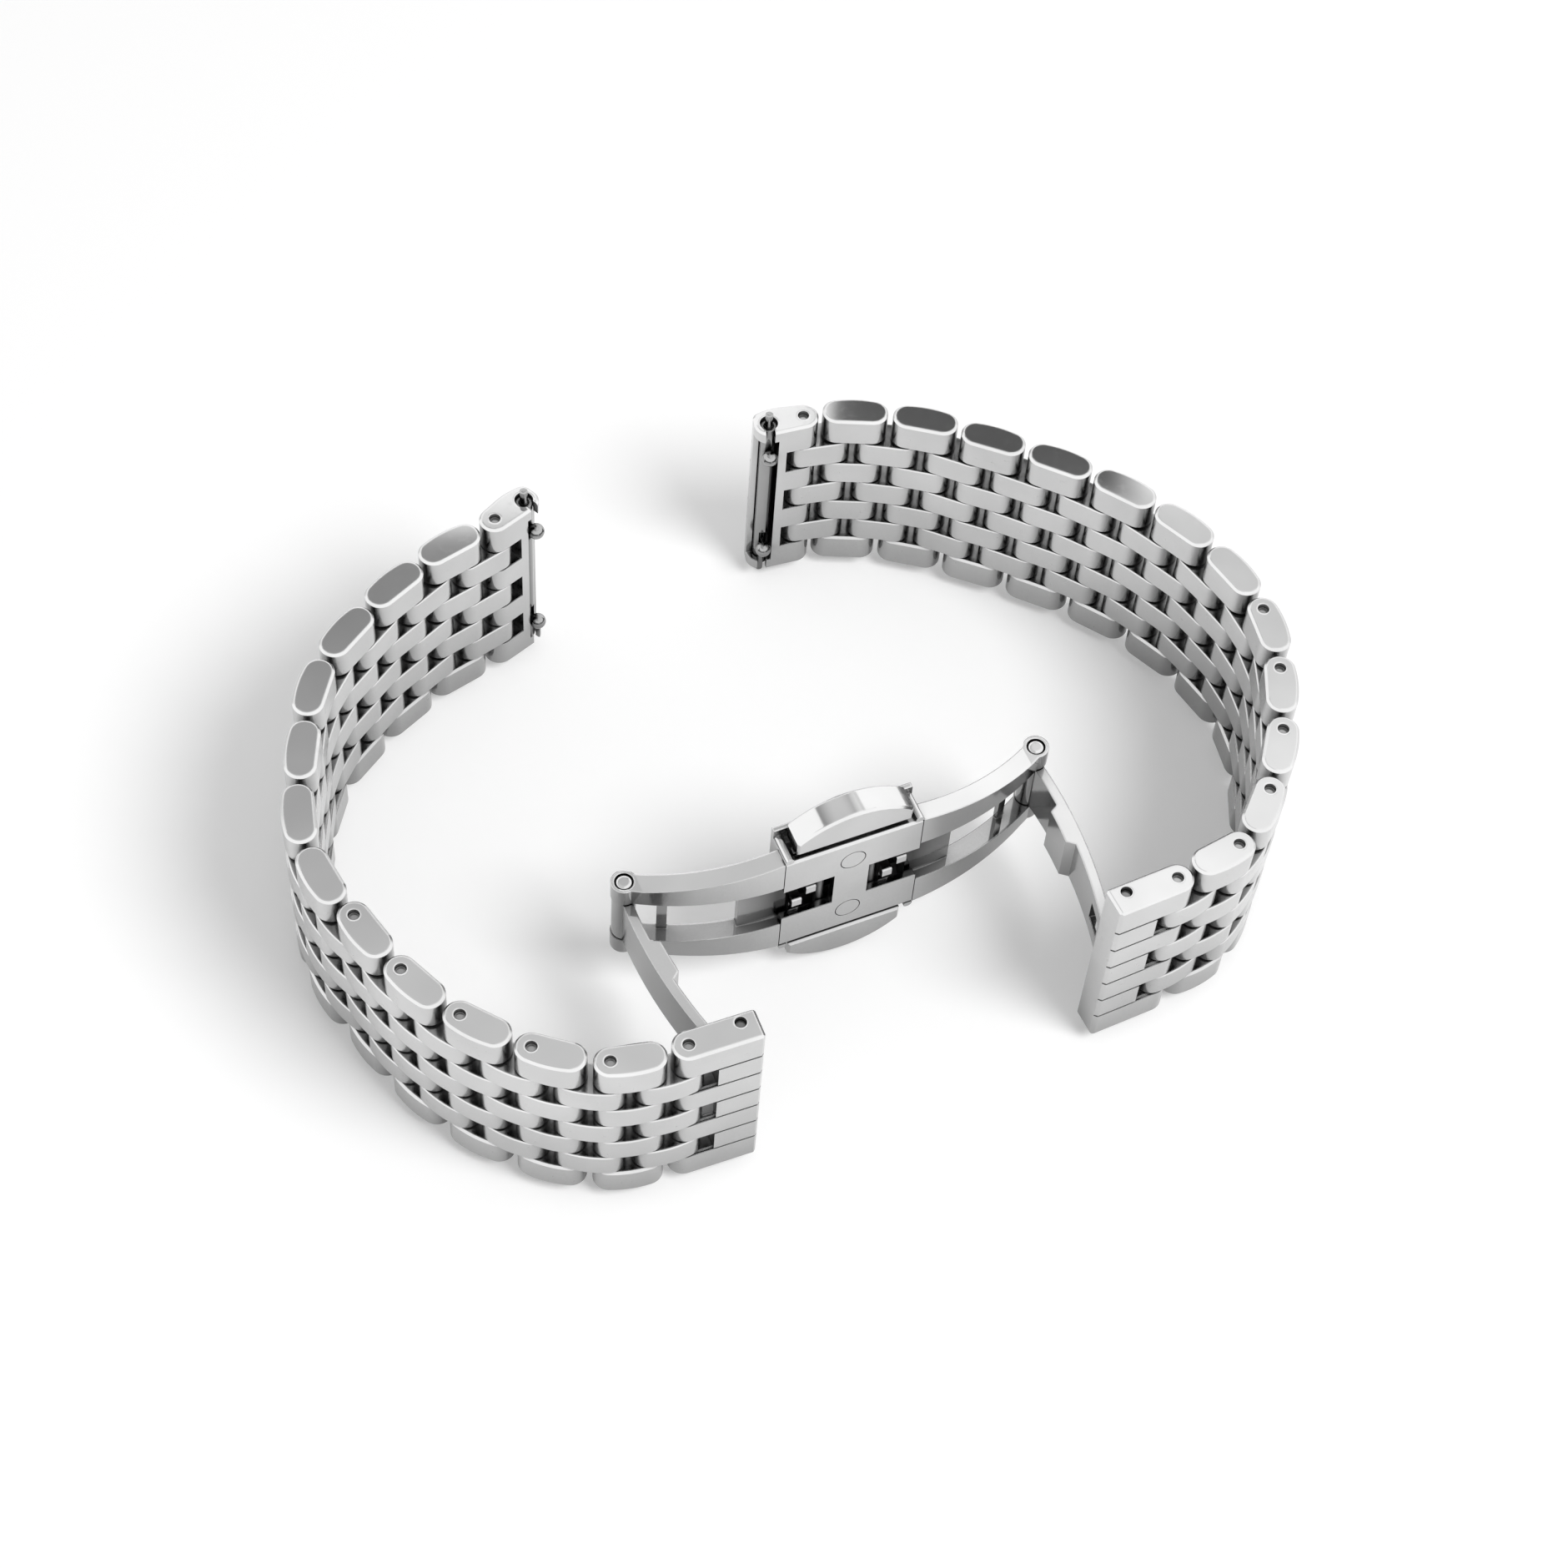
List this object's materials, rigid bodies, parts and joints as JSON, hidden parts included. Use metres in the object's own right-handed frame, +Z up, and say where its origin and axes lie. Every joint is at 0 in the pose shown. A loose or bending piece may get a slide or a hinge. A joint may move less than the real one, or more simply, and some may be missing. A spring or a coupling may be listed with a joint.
{
  "type": "link watch bracelet",
  "caption": "Open link watch bracelet with rows of rounded bars, quick-release spring bars and a push-button butterfly clasp.",
  "frame": {"origin": "centre of the bracelet's box, at the level of the surface it stands on", "axes": "+X to the right in the picture along the longest extent, +Y away from the viewer, +Z up along the strap's width and every hinge axis"},
  "size_m": [0.0854, 0.0718, 0.0226],
  "materials": {
    "satin_steel": "fine satin with bright edges",
    "polished_steel": "polished"
  },
  "bodies": {
    "clasp": {"clasp_frame": "polished_steel", "clasp_cover": "satin_steel", "cover_rivets": "polished_steel", "button_springs": "polished_steel", "left_wing_pin": "polished_steel", "right_wing_pin": "polished_steel"},
    "upper_button": {"upper_button": "polished_steel", "upper_latch": "polished_steel"},
    "lower_button": {"lower_button": "polished_steel", "lower_latch": "polished_steel"},
    "left_arm": {"left_arm": "polished_steel"},
    "left_clasp_link": {"left_clasp_link": "satin_steel", "left_arm_pin": "polished_steel"},
    "left_inner_links": {"left_inner_links": "satin_steel"},
    "left_link_12": {"left_link_12": "satin_steel"},
    "left_link_11": {"left_link_11": "satin_steel"},
    "left_link_10": {"left_link_10": "satin_steel"},
    "left_link_09": {"left_link_09": "satin_steel"},
    "left_link_08": {"left_link_08": "satin_steel"},
    "left_link_07": {"left_link_07": "satin_steel"},
    "left_link_06": {"left_link_06": "satin_steel"},
    "left_link_05": {"left_link_05": "satin_steel"},
    "left_link_04": {"left_link_04": "satin_steel"},
    "left_link_03": {"left_link_03": "satin_steel"},
    "left_link_02": {"left_link_02": "satin_steel"},
    "left_link_01": {"left_link_01": "satin_steel"},
    "left_end": {"left_end_piece": "polished_steel", "left_bar_tube": "polished_steel", "left_bar_spring": "polished_steel"},
    "left_upper_plunger": {"left_upper_plunger": "polished_steel"},
    "left_lower_plunger": {"left_lower_plunger": "polished_steel"},
    "right_arm": {"right_arm": "polished_steel"},
    "right_clasp_link": {"right_clasp_link": "satin_steel", "right_arm_pin": "polished_steel"},
    "right_inner_links": {"right_inner_links": "satin_steel"},
    "right_link_12": {"right_link_12": "satin_steel"},
    "right_link_11": {"right_link_11": "satin_steel"},
    "right_link_10": {"right_link_10": "satin_steel"},
    "right_link_09": {"right_link_09": "satin_steel"},
    "right_link_08": {"right_link_08": "satin_steel"},
    "right_link_07": {"right_link_07": "satin_steel"},
    "right_link_06": {"right_link_06": "satin_steel"},
    "right_link_05": {"right_link_05": "satin_steel"},
    "right_link_04": {"right_link_04": "satin_steel"},
    "right_link_03": {"right_link_03": "satin_steel"},
    "right_link_02": {"right_link_02": "satin_steel"},
    "right_link_01": {"right_link_01": "satin_steel"},
    "right_end": {"right_end_piece": "polished_steel", "right_bar_tube": "polished_steel", "right_bar_spring": "polished_steel"},
    "right_upper_plunger": {"right_upper_plunger": "polished_steel"},
    "right_lower_plunger": {"right_lower_plunger": "polished_steel"}
  },
  "joints": [
    {"name": "upper_button_push", "type": "slide", "parent": "clasp", "child": "upper_button", "axis": [0, 0, -1], "range_m": [0, 0.00055], "stiffness_N_per_m": 500, "springref_m": -0.0003},
    {"name": "lower_button_push", "type": "slide", "parent": "clasp", "child": "lower_button", "axis": [0, 0, 1], "range_m": [0, 0.00055], "stiffness_N_per_m": 500, "springref_m": -0.0003},
    {"name": "left_arm_fold", "type": "hinge", "parent": "clasp", "child": "left_arm", "pos_m": [-0.01331, -0.01449, 0.0113], "axis": [0, 0, -1], "range_deg": [-59, 10]},
    {"name": "left_clasp_link_turn", "type": "hinge", "parent": "left_arm", "child": "left_clasp_link", "pos_m": [-0.00245, -0.02984, 0.0113], "axis": [0, 0, 1], "range_deg": [-54, 20]},
    {"name": "left_inner_links_bend", "type": "hinge", "parent": "left_clasp_link", "child": "left_inner_links", "pos_m": [-0.00639, -0.03227, 0.0113], "axis": [0, 0, -1], "range_deg": [-25, 25]},
    {"name": "left_link_12_bend", "type": "hinge", "parent": "left_inner_links", "child": "left_link_12", "pos_m": [-0.00931, -0.03357, 0.0113], "axis": [0, 0, 1], "range_deg": [-25, 25]},
    {"name": "left_link_11_bend", "type": "hinge", "parent": "left_link_12", "child": "left_link_11", "pos_m": [-0.0156, -0.03429, 0.0113], "axis": [0, 0, -1], "range_deg": [-25, 25]},
    {"name": "left_link_10_bend", "type": "hinge", "parent": "left_link_11", "child": "left_link_10", "pos_m": [-0.02178, -0.03269, 0.0113], "axis": [0, 0, 1], "range_deg": [-25, 25]},
    {"name": "left_link_09_bend", "type": "hinge", "parent": "left_link_10", "child": "left_link_09", "pos_m": [-0.02743, -0.02974, 0.0113], "axis": [0, 0, -1], "range_deg": [-25, 25]},
    {"name": "left_link_08_bend", "type": "hinge", "parent": "left_link_09", "child": "left_link_08", "pos_m": [-0.03226, -0.02555, 0.0113], "axis": [0, 0, 1], "range_deg": [-25, 25]},
    {"name": "left_link_07_bend", "type": "hinge", "parent": "left_link_08", "child": "left_link_07", "pos_m": [-0.0367, -0.02095, 0.0113], "axis": [0, 0, -1], "range_deg": [-25, 25]},
    {"name": "left_link_06_bend", "type": "hinge", "parent": "left_link_07", "child": "left_link_06", "pos_m": [-0.03994, -0.01545, 0.0113], "axis": [0, 0, 1], "range_deg": [-25, 25]},
    {"name": "left_link_05_bend", "type": "hinge", "parent": "left_link_06", "child": "left_link_05", "pos_m": [-0.04094, -0.00914, 0.0113], "axis": [0, 0, -1], "range_deg": [-25, 25]},
    {"name": "left_link_04_bend", "type": "hinge", "parent": "left_link_05", "child": "left_link_04", "pos_m": [-0.04127, -0.00275, 0.0113], "axis": [0, 0, 1], "range_deg": [-25, 25]},
    {"name": "left_link_03_bend", "type": "hinge", "parent": "left_link_04", "child": "left_link_03", "pos_m": [-0.03995, 0.00348, 0.0113], "axis": [0, 0, -1], "range_deg": [-25, 25]},
    {"name": "left_link_02_bend", "type": "hinge", "parent": "left_link_03", "child": "left_link_02", "pos_m": [-0.03685, 0.00908, 0.0113], "axis": [0, 0, 1], "range_deg": [-25, 25]},
    {"name": "left_link_01_bend", "type": "hinge", "parent": "left_link_02", "child": "left_link_01", "pos_m": [-0.0329, 0.01412, 0.0113], "axis": [0, 0, -1], "range_deg": [-25, 25]},
    {"name": "left_end_bend", "type": "hinge", "parent": "left_link_01", "child": "left_end", "pos_m": [-0.02811, 0.01836, 0.0113], "axis": [0, 0, 1], "range_deg": [-25, 25]},
    {"name": "left_upper_release", "type": "slide", "parent": "left_end", "child": "left_upper_plunger", "axis": [0, 0, -1], "range_m": [0, 0.0013], "stiffness_N_per_m": 500, "springref_m": -0.0003},
    {"name": "left_lower_release", "type": "slide", "parent": "left_end", "child": "left_lower_plunger", "axis": [0, 0, 1], "range_m": [0, 0.0013], "stiffness_N_per_m": 500, "springref_m": -0.0003},
    {"name": "right_arm_fold", "type": "hinge", "parent": "clasp", "child": "right_arm", "pos_m": [0.02066, 0.00297, 0.0113], "axis": [0, 0, -1], "range_deg": [-10, 62]},
    {"name": "right_clasp_link_turn", "type": "hinge", "parent": "right_arm", "child": "right_clasp_link", "pos_m": [0.02813, -0.01428, 0.0113], "axis": [0, 0, 1], "range_deg": [-20, 56]},
    {"name": "right_inner_links_bend", "type": "hinge", "parent": "right_clasp_link", "child": "right_inner_links", "pos_m": [0.03236, -0.01242, 0.0113], "axis": [0, 0, -1], "range_deg": [-25, 25]},
    {"name": "right_link_12_bend", "type": "hinge", "parent": "right_inner_links", "child": "right_link_12", "pos_m": [0.03488, -0.01045, 0.0113], "axis": [0, 0, 1], "range_deg": [-25, 25]},
    {"name": "right_link_11_bend", "type": "hinge", "parent": "right_link_12", "child": "right_link_11", "pos_m": [0.03907, -0.0058, 0.0113], "axis": [0, 0, -1], "range_deg": [-25, 25]},
    {"name": "right_link_10_bend", "type": "hinge", "parent": "right_link_11", "child": "right_link_10", "pos_m": [0.04078, 0.00037, 0.0113], "axis": [0, 0, 1], "range_deg": [-25, 25]},
    {"name": "right_link_09_bend", "type": "hinge", "parent": "right_link_10", "child": "right_link_09", "pos_m": [0.04117, 0.00673, 0.0113], "axis": [0, 0, -1], "range_deg": [-25, 25]},
    {"name": "right_link_08_bend", "type": "hinge", "parent": "right_link_09", "child": "right_link_08", "pos_m": [0.04061, 0.01311, 0.0113], "axis": [0, 0, 1], "range_deg": [-25, 25]},
    {"name": "right_link_07_bend", "type": "hinge", "parent": "right_link_08", "child": "right_link_07", "pos_m": [0.03802, 0.01893, 0.0113], "axis": [0, 0, -1], "range_deg": [-25, 25]},
    {"name": "right_link_06_bend", "type": "hinge", "parent": "right_link_07", "child": "right_link_06", "pos_m": [0.03387, 0.0238, 0.0113], "axis": [0, 0, 1], "range_deg": [-25, 25]},
    {"name": "right_link_05_bend", "type": "hinge", "parent": "right_link_06", "child": "right_link_05", "pos_m": [0.02869, 0.02756, 0.0113], "axis": [0, 0, -1], "range_deg": [-25, 25]},
    {"name": "right_link_04_bend", "type": "hinge", "parent": "right_link_05", "child": "right_link_04", "pos_m": [0.02289, 0.03026, 0.0113], "axis": [0, 0, 1], "range_deg": [-25, 25]},
    {"name": "right_link_03_bend", "type": "hinge", "parent": "right_link_04", "child": "right_link_03", "pos_m": [0.0168, 0.03224, 0.0113], "axis": [0, 0, -1], "range_deg": [-25, 25]},
    {"name": "right_link_02_bend", "type": "hinge", "parent": "right_link_03", "child": "right_link_02", "pos_m": [0.01062, 0.03389, 0.0113], "axis": [0, 0, 1], "range_deg": [-25, 25]},
    {"name": "right_link_01_bend", "type": "hinge", "parent": "right_link_02", "child": "right_link_01", "pos_m": [0.00425, 0.0344, 0.0113], "axis": [0, 0, -1], "range_deg": [-25, 25]},
    {"name": "right_end_bend", "type": "hinge", "parent": "right_link_01", "child": "right_end", "pos_m": [-0.002, 0.03324, 0.0113], "axis": [0, 0, 1], "range_deg": [-25, 25]},
    {"name": "right_upper_release", "type": "slide", "parent": "right_end", "child": "right_upper_plunger", "axis": [0, 0, -1], "range_m": [0, 0.0013], "stiffness_N_per_m": 500, "springref_m": -0.0003},
    {"name": "right_lower_release", "type": "slide", "parent": "right_end", "child": "right_lower_plunger", "axis": [0, 0, 1], "range_m": [0, 0.0013], "stiffness_N_per_m": 500, "springref_m": -0.0003}
  ]
}
